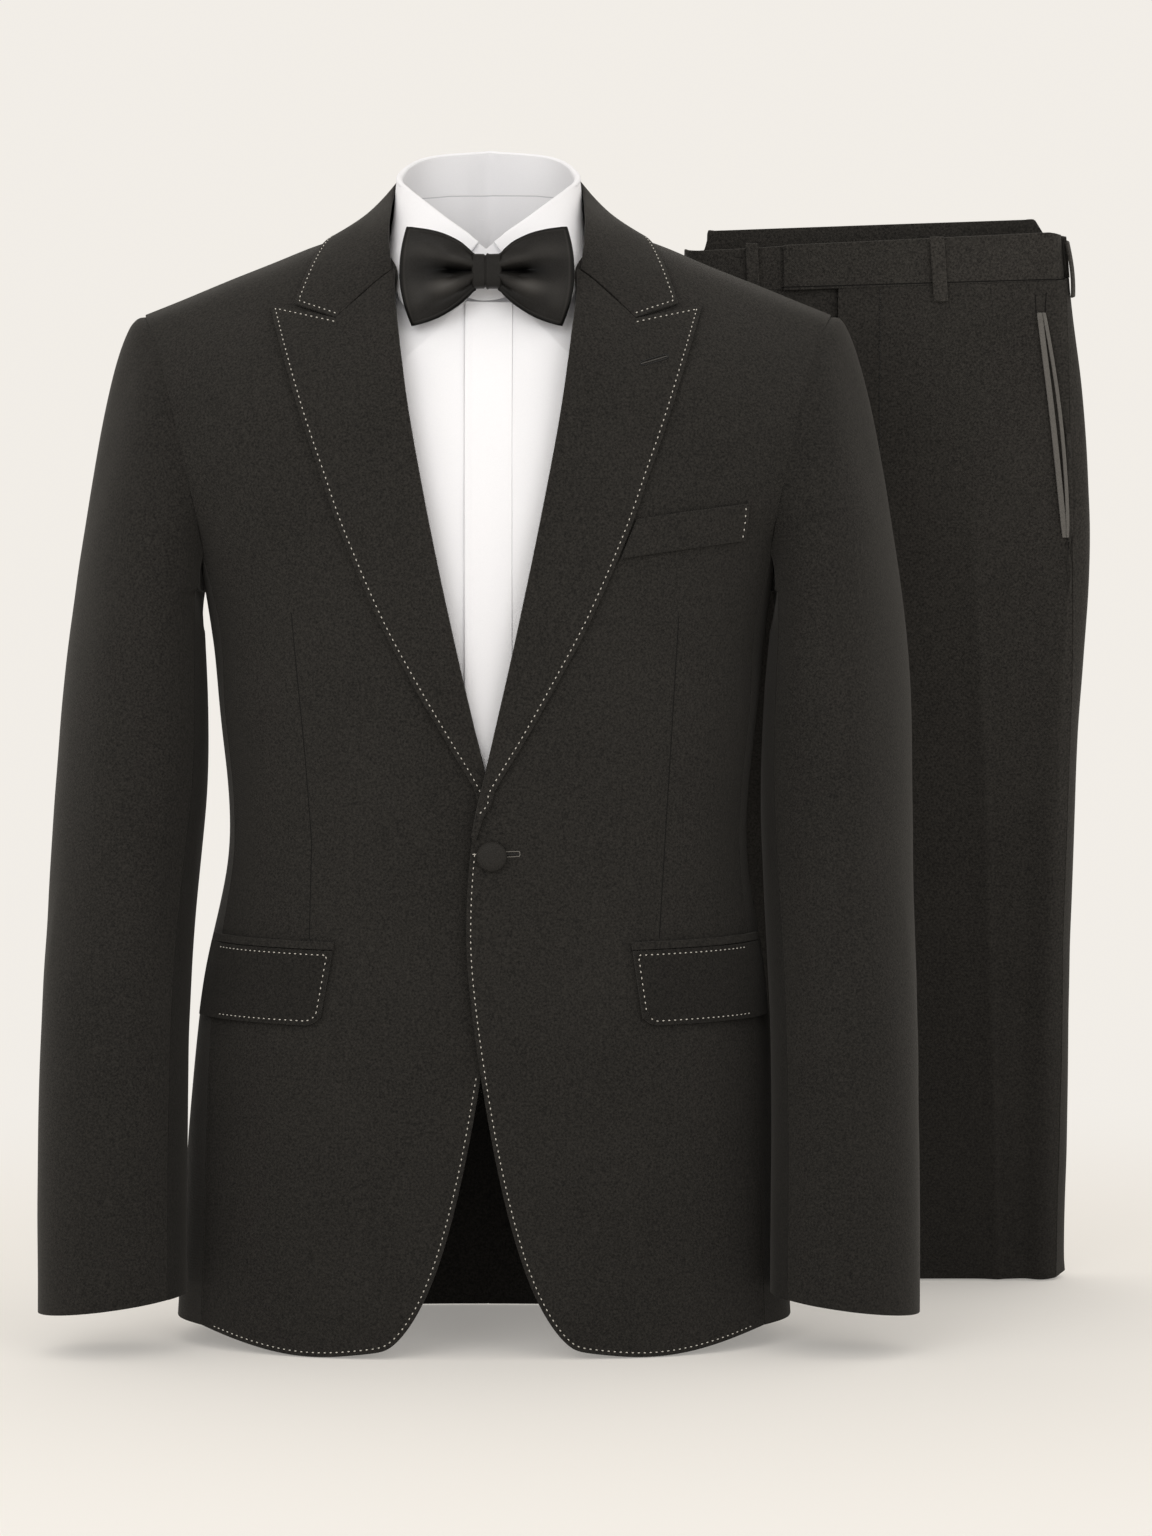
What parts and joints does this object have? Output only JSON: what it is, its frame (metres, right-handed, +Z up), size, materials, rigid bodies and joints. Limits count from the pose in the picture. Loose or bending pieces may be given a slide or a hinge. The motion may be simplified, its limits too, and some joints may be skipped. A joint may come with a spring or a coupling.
{
  "type": "two-piece dinner suit with shirt front and bow tie",
  "caption": "Dark wool dinner jacket with peak lapels, white shirt front, satin bow tie, and trousers folded once and leant behind it.",
  "frame": {"origin": "between the shoulders at the height of the neck, where the wearer carries the jacket", "axes": "+X to the viewer's right (the wearer's left), +Y away from the viewer, towards the back, +Z up"},
  "size_m": [0.7112, 0.403, 0.7979],
  "materials": {
    "suit_wool": "fine matt wool, warm near-black",
    "satin": "near-black satin",
    "welt_satin": "grey satin piping",
    "shirt_cloth": "white poplin"
  },
  "bodies": {
    "root": {"belt_loop_front": "suit_wool", "belt_loop_left": "suit_wool", "belt_loop_side": "suit_wool", "bow_knot": "satin", "bow_wing_left": "satin", "bow_wing_right": "satin", "breast_welt": "suit_wool", "button": "satin", "collar_leaf": "suit_wool", "collar_stand": "suit_wool", "jacket_back_left": "suit_wool", "jacket_back_right": "suit_wool", "jacket_front_over": "suit_wool", "jacket_front_under": "suit_wool", "jacket_side_left": "suit_wool", "jacket_side_right": "suit_wool", "lapel_over": "suit_wool", "lapel_under": "suit_wool", "pocket_flap_left": "suit_wool", "pocket_flap_right": "suit_wool", "pocket_jet_left": "suit_wool", "pocket_jet_right": "suit_wool", "pocket_welt_front": "welt_satin", "pocket_welt_side": "welt_satin", "shirt_back": "shirt_cloth", "shirt_collar_leaf": "shirt_cloth", "shirt_collar_stand": "shirt_cloth", "shirt_front_left": "shirt_cloth", "shirt_front_right": "shirt_cloth", "shirt_placket": "shirt_cloth", "sleeve_top_left": "suit_wool", "sleeve_top_right": "suit_wool", "sleeve_under_left": "suit_wool", "sleeve_under_right": "suit_wool", "trouser_back_left": "suit_wool", "trouser_back_right": "suit_wool", "trouser_folded_legs": "suit_wool", "trouser_front_over": "suit_wool", "trouser_front_under": "suit_wool", "waistband_back": "suit_wool", "waistband_over": "suit_wool", "waistband_under": "suit_wool"}
  },
  "joints": []
}
